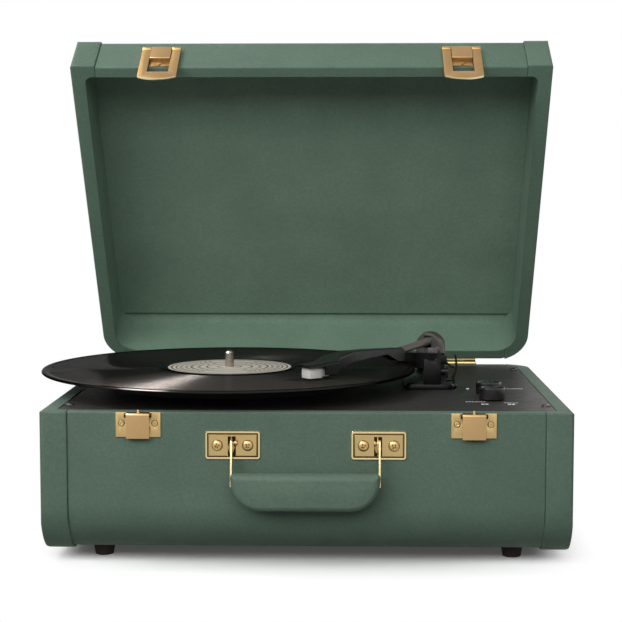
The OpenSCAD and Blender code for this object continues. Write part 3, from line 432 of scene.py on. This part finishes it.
def label_paper(name):
    """Uncoated label: cream, with plain printed rings and short generic dashes."""
    # radius, half width and ink, then for the dashes radius, half width, count and share of ink
    rings_printed = ((47.0, 0.6, 0.9), (43.2, 0.5, 0.8), (31.0, 0.8, 0.85), (18.5, 0.7, 0.8), (9.5, 0.6, 0.7))
    dashes_printed = ((39.6, 1.4, 58, 0.5), (35.2, 1.0, 40, 0.6), (25.0, 1.3, 24, 0.55))
    p = Paint(name, roughness=0.72, specular_ior_level=0.3)
    r, angle = polar(p)
    paper = p.blend(p.noise(500, 3.0), srgb(214, 204, 190), srgb(230, 222, 208))

    def band(radius, half, strength):
        return p.span(p.distance(r, radius), half, half + 0.25, strength, 0)

    ink = 0.0
    for radius, half, strength in rings_printed:
        ink = p.math("MAXIMUM", ink, band(radius, half, strength))
    # the dashes leave the label's front and back free
    beside = p.math("GREATER_THAN", p.math("ABSOLUTE", p.math("COSINE", angle)), 0.45)
    for radius, half, count, share in dashes_printed:
        beat = p.math("FRACT", p.product(angle, count / (2 * math.pi)))
        dash = p.math("LESS_THAN", beat, share)
        ink = p.math("MAXIMUM", ink, p.product(band(radius, half, 1), dash, beside, 0.8))
    p.set("Base Color", p.blend(ink, paper, srgb(38, 33, 30)))
    p.bump(p.noise(1800), 0.00002)
    return p.material


def build_materials():
    return {
        # one green leatherette in lit and shaded copies: painted light makes the grip and the lid lighter
        # than the base, and the lid's walls within and the lining lighter still
        "base_green": leatherette("green_leatherette", srgb(96, 118, 103)),
        "lid_green": leatherette("green_leatherette_lid", srgb(102, 127, 110), inside=srgb(119, 145, 127)),
        "grip_green": leatherette("green_leatherette_grip", srgb(102, 125, 109)),
        "lining": leatherette("green_lining", srgb(128, 154, 135), 0.0001),
        "brass": metal("satin_brass", srgb(184, 160, 110), 0.3),
        "brass_grained": metal("grained_brass", srgb(180, 154, 106), 0.4, grained=True),
        "arm_brass": metal("pale_brass", srgb(214, 196, 150), 0.26),
        "pale_edge": metal("edge_painted_highlight", srgb(222, 206, 164), 0.34),
        "copper": metal("warm_brass", srgb(162, 130, 86), 0.38),
        "lever": metal("brushed_copper", srgb(172, 142, 99), 0.42, brushed="z"),
        "recess": metal("recess_shadow", srgb(104, 82, 48), 0.55),
        "shade": metal("slot_shadow", srgb(58, 44, 26), 0.7),
        "black_screw": metal("black_steel", srgb(84, 82, 80), 0.3),
        "steel": metal("satin_steel", srgb(176, 168, 156), 0.24),
        "zinc": metal("zinc_steel", srgb(150, 148, 142), 0.36),
        "deck": plastic("deck_black", srgb(32, 29, 27), 0.5, grain=0.00003, scale=2200, spec=0.3),
        "black": plastic("black_plastic", srgb(11, 9, 9), 0.3, spec=0.2),
        "charcoal": plastic("charcoal_plastic", srgb(78, 73, 69), 0.32),
        "tube": two_tone("grey_tube", srgb(124, 117, 112), srgb(13, 11, 11), 52.0, 0.32),
        "under": plastic("black_platter", srgb(16, 15, 15), 0.7, spec=0.2),
        "knob": plastic("knob_black", srgb(22, 19, 19), 0.2, spec=0.45),
        "cream": plastic("cream_plastic", srgb(196, 188, 178), 0.45),
        "white": plastic("white_print", srgb(244, 241, 234), 0.5),
        "red": plastic("red_plastic", srgb(150, 40, 34), 0.3),
        "lens": plastic("clear_lens", srgb(236, 240, 236), 0.2),
        "vinyl": vinyl("vinyl"),
        "label": label_paper("label_paper"),
        "rubber": rubber("black_rubber", srgb(28, 26, 25)),
        "foot": rubber("brown_rubber", srgb(62, 52, 48)),
        "felt": felt("felt", srgb(24, 23, 23)),
        "painted": plastic("painted_metal", srgb(34, 33, 33), 0.5),
        "cone": felt("speaker_paper", srgb(40, 38, 36)),
        "board": plastic("board", srgb(36, 84, 52), 0.3),
        "hardboard": felt("hardboard", srgb(36, 33, 31)),
    }


# the CAD nodes that keep their own shape, by the look that they get
NODE_LOOKS = {
    "lining": "lid_lining",
    "brass": "hinge_base_leaves hinge_lid_leaves hinge_pins motor_pulley spindle_bearing",
    "steel": "spindle",
    "zinc": "bottom_screws potentiometers motor rca_sockets",
    "deck": "deck_plate",
    "black": "arm_shell cue_lift rear_panel headphone_socket dc_inlet speed_switch autostop_switch rest_clip"
             " cue_lever",
    "under": "platter",
    "tube": "arm_tube",
    "knob": "volume_knob function_knob",
    "red": "stylus",
    "lens": "power_light",
    "vinyl": "record",
    "label": "record_label",
    "rubber": "drive_belt",
    "felt": "slip_mat",
    "painted": "speaker_baskets",
    "cone": "speaker_cones",
    "board": "circuit_board",
    "hardboard": "bottom_panel",
}


def paint_nodes():
    for look, names in NODE_LOOKS.items():
        for name in names.split():
            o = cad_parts[name]
            o.data.materials.clear()
            o.data.materials.append(LOOKS[look])


# ---------------------------------------------------------------- mesh helpers

# points of a CAD node closer than this are one, and faces flatter than this are one, in metres and degrees
WELD = 2e-6
FLAT = 0.6
# an edge of a CAD node sharper than this is rounded, in degrees
SHARP_EDGE = 40


def add_object(name, data):
    o = bpy.data.objects.new(name, data)
    bpy.context.scene.collection.objects.link(o)
    return o


def welded(node):
    """The CAD node's shape with its points joined."""
    bm = bmesh.new()
    bm.from_mesh(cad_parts[node].data)
    bmesh.ops.remove_doubles(bm, verts=bm.verts, dist=WELD)
    return bm


def settle(o):
    """Apply the object's modifiers to its mesh."""
    depsgraph = bpy.context.evaluated_depsgraph_get()
    mesh = bpy.data.meshes.new_from_object(o.evaluated_get(depsgraph), depsgraph=depsgraph)
    o.modifiers.clear()
    old = o.data
    o.data = mesh
    bpy.data.meshes.remove(old)
    return o


def cut(o, cutter):
    """Take the cutter's shape out of the object."""
    m = o.modifiers.new("cut", "BOOLEAN")
    m.operation = "DIFFERENCE"
    m.object = cutter
    m.solver = "EXACT"
    settle(o)
    bpy.data.objects.remove(cutter)


def clean_copy(node, name):
    """The CAD node's shape as whole faces, without the seams of its triangles."""
    bm = welded(node)
    bmesh.ops.dissolve_limit(bm, angle_limit=math.radians(FLAT), verts=bm.verts, edges=bm.edges)
    bm.verts.index_update()
    mesh = bpy.data.meshes.new(name)
    mesh.from_pydata([v.co.copy() for v in bm.verts], [], [[v.index for v in f.verts] for f in bm.faces])
    bm.free()
    mesh.update()
    return add_object(name, mesh)


def eased(node, name, width, segments=2, where=None):
    """A copy of a CAD node with its sharp edges rounded, or only those whose middle where() picks."""
    o = clean_copy(node, name)
    bm = bmesh.new()
    bm.from_mesh(o.data)
    weight = bm.edges.layers.float.new("bevel_weight_edge")
    for e in bm.edges:
        if len(e.link_faces) == 2 and e.calc_face_angle() > math.radians(SHARP_EDGE):
            middle = (e.verts[0].co + e.verts[1].co) / 2
            e[weight] = 1.0 if where is None else where(middle)
    bm.to_mesh(o.data)
    bm.free()
    b = o.modifiers.new("edge", "BEVEL")
    b.limit_method = "WEIGHT"
    b.width = width * MM
    b.segments = segments
    b.use_clamp_overlap = where is None
    b.miter_outer = "MITER_ARC"
    return settle(o)


def skin_faces(n, count):
    """Faces of a closed skin over this many rings of n points each, its two ends included."""
    faces = [(k * n + i, k * n + (i + 1) % n, (k + 1) * n + (i + 1) % n, (k + 1) * n + i)
             for k in range(count - 1) for i in range(n)]
    return faces + [tuple(range(n))[::-1], tuple(range((count - 1) * n, count * n))]


def rings(name, loops):
    """A closed skin through loops of equally many points, in millimetres of the case's drawing frame."""
    mesh = bpy.data.meshes.new(name)
    mesh.from_pydata([at(*p) for loop in loops for p in loop], [], skin_faces(len(loops[0]), len(loops)))
    mesh.update()
    o = add_object(name, mesh)
    bm = bmesh.new()
    bm.from_mesh(o.data)
    bmesh.ops.recalc_face_normals(bm, faces=bm.faces)
    bm.to_mesh(o.data)
    bm.free()
    return o


def upright_block(name, x_from, x_to, z_from, z_to, y_from, y_to):
    outline = ((x_from, z_from), (x_to, z_from), (x_to, z_to), (x_from, z_to))
    return rings(name, [[(x, y, z) for x, z in outline] for y in (y_from, y_to)])


def rounded_outline(half_w, z0, z1, r_low, r_high, inset, steps):
    """Points of an upright rounded rectangle as (x, z), drawn in by inset all round."""
    w, low, high = half_w - inset, z0 + inset, z1 - inset
    largest = high - low - 0.8
    points = []
    for side, z, r, start in ((-1, low, r_low, 180), (1, low, r_low, 270), (1, high, r_high, 0),
                              (-1, high, r_high, 90)):
        r = min(max(r - inset, 0.3), largest)
        cx = side * (w - r)
        cz = z + r if z == low else z - r
        for k in range(steps + 1):
            a = math.radians(start + 90 * k / steps)
            points.append((cx + r * math.cos(a), cz + r * math.sin(a)))
    return points


def join(name, parts):
    """One object of several, with their places kept."""
    bm = bmesh.new()
    for p in parts:
        p.data.transform(p.matrix_world)
        bm.from_mesh(p.data)
    mesh = bpy.data.meshes.new(name)
    bmesh.ops.recalc_face_normals(bm, faces=bm.faces)
    bm.to_mesh(mesh)
    bm.free()
    for p in parts:
        bpy.data.objects.remove(p)
    return add_object(name, mesh)


def dress(o, look, body, replaced=(), sharp=32):
    """Give a finished mesh its material, its smooth shading and its body, and hide the CAD nodes that it
    replaces.
    """
    index = [f.material_index for f in o.data.polygons]
    o.data.materials.clear()
    o.data.materials.append(LOOKS[look])
    o.data.polygons.foreach_set("material_index", index)
    o.data.shade_smooth()
    o.data.set_sharp_from_angle(angle=math.radians(sharp))
    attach(o, body)
    if replaced:
        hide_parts(*replaced)


# ---------------------------------------------------------------- covered case and padded grip

def build_covers():
    """The leatherette of box and lid, turned over its edges and drawn in along the seams of the cheeks."""
    seam = CASE_WIDTH / 2 - CHEEK_WIDTH
    # a point is outside past one of these faces: front and back, then the lower and upper of each box
    front, back = 3, 298
    base_floor, base_rim = -103, -1.2
    lid_rim, lid_top = 1.2, 46
    turn_back = Matrix.Rotation(LID_OPEN, 3, "X")

    def on_seam(p, low, high):
        """Whether this point lies on a seam, and on its run round the outside of the box or over its rim."""
        outside = p.y < front or p.y > back or p.z < low or p.z > high
        return abs(abs(p.x) - seam) < 0.05 and outside

    def on_base(p):
        return on_seam((p - CASE) / MM, base_floor, base_rim)

    def on_lid(p):
        return on_seam((turn_back @ (p - CASE - HINGE) + HINGE) / MM, lid_rim, lid_top)

    for body, look, where in (("base", "base_green", on_base), ("lid", "lid_green", on_lid)):
        for part in ("shell", "cheek_left", "cheek_right"):
            node = f"{body}_{part}"
            o = eased(node, node + "_cover", 0.9, 3, where)
            dress(o, look, body, [node])


def build_grip():
    """Foam grip under the cover: crowned faces, full round edges and the seam round its middle."""
    half_w, low, high, half_t, y_mid = 54.0, -69.9, -42.8, 8.5, -10.2
    r_low, r_high, edge, roundness = 22.0, 3.0, 5.0, 2.2
    # how far in from the outline, and how far out from the middle, each loop lies, from the seam outwards
    profile = [(0.35, 0.0), (0.0, 0.9)]
    for k in range(1, 9):
        bulge = (1 - (1 - k / 8) ** roundness) ** (1 / roundness)
        profile.append((edge * k / 8, (half_t - 0.7) * bulge))
    profile += [(8.0, half_t - 0.35), (10.5, half_t - 0.12), (12.6, half_t)]

    def loop(inset, y):
        return [(x, y, z) for x, z in rounded_outline(half_w, low, high, r_low, r_high, inset, 10)]

    # the seam's loop, the first of the profile, is there once
    rear = [loop(inset, y_mid - out) for inset, out in profile[:0:-1]]
    front = [loop(inset, y_mid + out) for inset, out in profile]
    o = rings("grip_pad", rear + front)
    dress(o, "grip_green", "handle", ["handle_grip"], sharp=50)


# ---------------------------------------------------------------- brackets and screws

# a bracket's half sizes, middle height and corner radius, and its pressed section from the outline inwards:
# how far in and how far forward each loop lies
BRACKET_HALF = (20.0, 10.4)
BRACKET_Z = -24.0
BRACKET_CORNER = 2.2
BRACKET_SECTION = ((0.0, 0.0), (0.0, -0.7), (0.4, -1.25), (0.9, -1.35), (1.5, -1.2), (1.8, -0.3),
                   (2.4, -0.3), (2.6, -1.8), (3.0, -2.2), (5.0, -2.2))
# the looks of a bracket after its own: a shinier rim painted paler as a highlight, the groove and the slots
# in painted shade, and the eye
BRACKET_LOOKS = ("arm_brass", "recess", "shade", "copper")
FIELD, RIM, GROOVE, SLOT, EYE = range(5)
BANDS = (RIM, RIM, RIM, RIM, GROOVE, GROOVE, FIELD, FIELD, FIELD)
# each slot's middle, from the bracket's own, and its half width
SLOTS = ((-2.25, 1.15), (0.95, 1.45))
# the strap between the slots, bent out over the pin, as (y, z), and its six-sided eye as (x, z)
STRAP = ((-0.4, -16.6), (-2.6, -18.6), (-4.4, -20.4), (-5.0, -21.6), (-5.0, -25.4), (-4.4, -27.4),
         (-2.6, -30.4), (-0.4, -32.2), (-0.4, -30.4), (-2.0, -28.8), (-3.2, -26.4), (-3.8, -24.8),
         (-3.8, -22.4), (-3.2, -21.4), (-2.0, -20.0), (-0.4, -18.2))
STRAP_X = (-1.15, -0.45)
EYE_OUTLINE = ((-3.2, -25.2), (-2.0, -28.6), (0.6, -28.6), (1.8, -25.2), (0.6, -21.8), (-2.0, -21.8))
EYE_Y = (-1.6, -4.2)


def number_faces(o, number):
    """Give each face the number of its look. The empty places keep the numbers through a cut."""
    for _ in BRACKET_LOOKS:
        o.data.materials.append(None)
    for f in o.data.polygons:
        f.material_index = number(f)
    return o


def bracket_plate(x0):
    """One plate with its pressed section and its two slots, open to the strap behind them."""
    half_w, half_h = BRACKET_HALF
    loops = [[(x0 + x, y, z) for x, z in rounded_outline(half_w, BRACKET_Z - half_h, BRACKET_Z + half_h,
                                                         BRACKET_CORNER, BRACKET_CORNER, inset, 5)]
             for inset, y in BRACKET_SECTION]
    n = len(loops[0])
    plate = number_faces(rings("bracket_plate", loops),
                         lambda f: BANDS[f.index // n] if f.index < n * len(BANDS) else FIELD)
    for middle, half in SLOTS:
        x = x0 + middle
        slot = upright_block("slot", x - half, x + half, -31.6, -17.4, -4.0, -0.9)
        cut(plate, number_faces(slot, lambda f: SLOT))
    return plate


def build_brackets():
    """Pressed handle plates: a shinier rim painted paler as a highlight, a groove painted dark as shade, a
    field with two slots painted dark within, and the bulged strap.
    """
    parts = []
    for x0 in (-BRACKET_X, BRACKET_X):
        parts.append(bracket_plate(x0))
        parts.append(rings("strap", [[(x0 + dx, y, z) for y, z in STRAP] for dx in STRAP_X]))
        eye = rings("eye", [[(x0 + x, y, z) for x, z in EYE_OUTLINE] for y in EYE_Y])
        parts.append(number_faces(eye, lambda f: EYE))
    o = join("handle_plates", parts)
    dress(o, "brass", "base", ["handle_brackets"], sharp=28)
    for look in BRACKET_LOOKS:
        o.data.materials.append(LOOKS[look])


def screw_cross(along, reach, wide, low, top):
    """One arm of the recess, in metres: it opens upwards."""
    corners = []
    for z, a, b in ((low, reach * 0.45, wide * 0.6), (top, reach * 1.15, wide * 1.1)):
        for sx, sy in ((-1, -1), (1, -1), (1, 1), (-1, 1)):
            x, y = (sx * a, sy * b) if along == "x" else (sx * b, sy * a)
            corners.append(Vector((x, y, z)) * MM)
    mesh = bpy.data.meshes.new("cross")
    sides = [(0, 1, 5, 4), (1, 2, 6, 5), (2, 3, 7, 6), (3, 0, 4, 7)]
    mesh.from_pydata(corners, [], [(3, 2, 1, 0), (4, 5, 6, 7)] + sides)
    return add_object("cross", mesh)


def screw_form(head_r, head_h, shank_r, shank, sunk):
    """A cross-recess screw along +Z with its seat at z = 0, and a thin ring round its head that takes painted
    shade.
    """
    n, ring, ring_h = 28, 0.45, 0.05
    if sunk:
        head = [(head_r * 0.97, head_h * 0.7), (head_r * 0.86, head_h)]
    else:
        head = [(head_r, head_h * 0.3)]
        head += [(head_r * math.cos(a), head_h * (0.3 + 0.7 * math.sin(a)))
                 for a in (math.radians(k * 14) for k in range(1, 6))]
    rim = [(head_r + ring, 0.0), (head_r + ring, ring_h), (head_r, ring_h)]
    profile = [(shank_r, -shank), (shank_r, 0.0)] + rim + head
    points = [Vector((r * math.cos(2 * math.pi * i / n), r * math.sin(2 * math.pi * i / n), z)) * MM
              for r, z in profile for i in range(n)]
    mesh = bpy.data.meshes.new("screw")
    mesh.from_pydata(points, [], skin_faces(n, len(profile)))
    mesh.materials.append(None)
    mesh.materials.append(None)
    # the ring's bands follow the shank's own and take the second look, a painted shade
    for f in mesh.polygons[n:4 * n]:
        f.material_index = 1
    o = add_object("screw", mesh)
    for along in "xy":
        cut(o, screw_cross(along, head_r * 0.58, head_r * 0.17, head_h * 0.25, head_h + 0.6))
    mesh = o.data
    bpy.data.objects.remove(o)
    return mesh


def islands(node):
    """Point lists of the separate solids in a CAD node, in order of their middles."""
    bm = welded(node)
    left = set(bm.verts)
    found = []
    while left:
        todo = [left.pop()]
        points = []
        while todo:
            v = todo.pop()
            points.append(v.co.copy())
            for e in v.link_edges:
                other = e.other_vert(v)
                if other in left:
                    left.discard(other)
                    todo.append(other)
        found.append(points)
    bm.free()
    return sorted(found, key=lambda ps: tuple(round(sum(p[i] for p in ps) / len(ps), 5) for i in range(3)))


def build_screws(node, out, head_h, look, body="base", sunk=False, seed=1):
    """Cross-recess screws in the places of a CAD node's plain ones. out is the way their heads face."""
    shank_r = 1.45
    rng = random.Random(seed)
    turn = out.to_track_quat("Z", "Y").to_matrix()
    parts = []
    form = None
    for k, points in enumerate(islands(node)):
        local = [turn.transposed() @ p for p in points]
        lo = [min(p[i] for p in local) for i in range(3)]
        hi = [max(p[i] for p in local) for i in range(3)]
        seat = Vector(((lo[0] + hi[0]) / 2, (lo[1] + hi[1]) / 2, hi[2] - head_h * MM))
        if form is None:
            form = screw_form((hi[0] - lo[0]) / 2 / MM, head_h, shank_r, (seat.z - lo[2]) / MM, sunk)
        o = add_object(f"screw_{k}", form.copy())
        spin = Matrix.Rotation(rng.uniform(0, math.pi / 2), 4, "Z")
        o.data.transform(Matrix.Translation(turn @ seat) @ turn.to_4x4() @ spin)
        parts.append(o)
    o = join(node + "_cross", parts)
    dress(o, look, body, [node], sharp=25)
    # the second look: the rings round the heads in painted shade, as their contact shadow
    o.data.materials.append(LOOKS["recess"])


def build_all_screws():
    build_screws("bracket_screws", FORWARD, 2.2, "brass_grained", seed=3)
    build_screws("latch_screws", FORWARD, 0.5, "brass", sunk=True, seed=4)
    build_screws("deck_screws", UP, 1.6, "black_screw", seed=5)
    build_screws("hinge_base_screws", BACK, 0.5, "brass", sunk=True, seed=6)
    build_screws("hinge_lid_screws", LID_TURN @ BACK, 0.5, "brass", body="lid", sunk=True,
                 seed=7)


# ---------------------------------------------------------------- other fittings

# node, body, look, slot, and how far its edges are rounded
FITTINGS = (
    ("latch_plates", "base", "brass_grained", "brass_plate", 0.22),
    ("hasp_plates", "lid", "copper", "copper_plate", 0.3),
    ("hasp_left", "hasp_left", "copper", "copper_plate", 0.35),
    ("hasp_right", "hasp_right", "copper", "copper_plate", 0.35),
    ("latch_lever_left", "latch_lever_left", "lever", "copper_plate", 0.35),
    ("latch_lever_right", "latch_lever_right", "lever", "copper_plate", 0.35),
    ("handle_arms", "handle", "arm_brass", "brass_plate", 0.2),
    ("arm_rest", "base", "black", "black_plastic", 0.35),
    ("arm_base", "base", "black", "black_plastic", 0.3),
    ("arm_turret", "turret", "charcoal", "charcoal_plastic", 0.3),
    ("cartridge", "tonearm", "cream", "cream_plastic", 0.35),
    ("feet", "base", "foot", "brown_rubber", 0.6),
)
# how much nearer the middle the handle's strips stand than in the CAD model
ARMS_INWARD = 1.0


def inside_bracket(f):
    """The handle's pins and the upper ends of its strips."""
    c = f.center - CASE
    return abs(c.x) < 53 * MM and c.z > -27 * MM


def end_of_hasp(f):
    """The lower end of the hasp's loop, which the open lid turns forward, painted pale as a highlight."""
    return f.normal.dot(LID_TURN @ -UP) > 0.8


def latch_ear(f):
    """The ears beside the lever, which stand proud of the plate; they are painted dark as shade."""
    c = f.center - CASE
    return abs(abs(c.x) - LATCH_X * MM) > 8 * MM and c.y < -1.4 * MM


def cartridge_front(f):
    """The faces that look forward, and to the left in front."""
    return f.normal.y < -0.6 or (f.normal.x < -0.6 and f.normal.y < 0)


# a fitting's second look, and the faces that have it
SECOND_LOOKS = {
    "latch_plates": ("shade", latch_ear),
    "hasp_left": ("pale_edge", end_of_hasp),
    "hasp_right": ("pale_edge", end_of_hasp),
    "handle_arms": ("copper", inside_bracket),
    "cartridge": ("white", cartridge_front),
}


def with_gap_shade(plates):
    """The latch plates with a dark patch laid over the gap between the ears, above the lever: painted shade
    where the gap is.
    """
    dark_patches = [upright_block("shade_patch", x0 + x_from, x0 + x_to, -1.6, -0.26, -1.24, -0.8)
              for x0 in (-LATCH_X, LATCH_X) for x_from, x_to in ((-8.4, -0.9), (0.9, 8.4))]
    for dark_patch in dark_patches:
        for f in dark_patch.data.polygons:
            f.material_index = 1
    return join(plates.name, [plates] + dark_patches)


def build_fittings():
    for node, body, look, slot, rounding in FITTINGS:
        o = eased(node, node + "_detail", rounding)
        if node == "latch_plates":
            o = with_gap_shade(o)
        if node == "handle_arms":
            for v in o.data.vertices:
                v.co.x -= math.copysign(ARMS_INWARD * MM, v.co.x - CASE.x)
        dress(o, look, body, [node], sharp=30)
        if node in SECOND_LOOKS:
            second, chosen = SECOND_LOOKS[node]
            o.data.materials.append(LOOKS[second])
            for f in o.data.polygons:
                if chosen(f):
                    f.material_index = 1


def build_marks():
    """Plain printed ticks on the deck: a line by the light, two by the knobs, and four larger ones."""
    low, high = -0.6, -0.44
    # middle in x and y, half width and half depth
    ticks = [(159.0 + 2.2 * k, 135.0, 0.85, 1.2) for k in range(6)]
    ticks += [(120.4 + 2.2 * k, 59.8, 0.85, 1.1) for k in range(7)]
    ticks += [(148.8 + 2.2 * k, 54.8, 0.8, 0.9) for k in range(5)]
    ticks += [(x, 47.4, 1.15, 2.6) for x in (131.4, 134.4, 151.2, 154.2)]
    parts = []
    for x, y, w, h in ticks:
        outline = ((x - w, y - h), (x + w, y - h), (x + w, y + h), (x - w, y + h))
        parts.append(rings("mark", [[(px, py, z) for px, py in outline] for z in (low, high)]))
    dress(join("deck_marks", parts), "white", "base", sharp=25)


# ---------------------------------------------------------------- the scene

build_camera()
for lamp in LAMPS:
    add_lamp(*lamp)
add_lamp(*GLEAM).visible_diffuse = False
build_world()
build_floor()

LOOKS = build_materials()
paint_nodes()
build_covers()
build_grip()
build_brackets()
build_all_screws()
build_fittings()
build_marks()
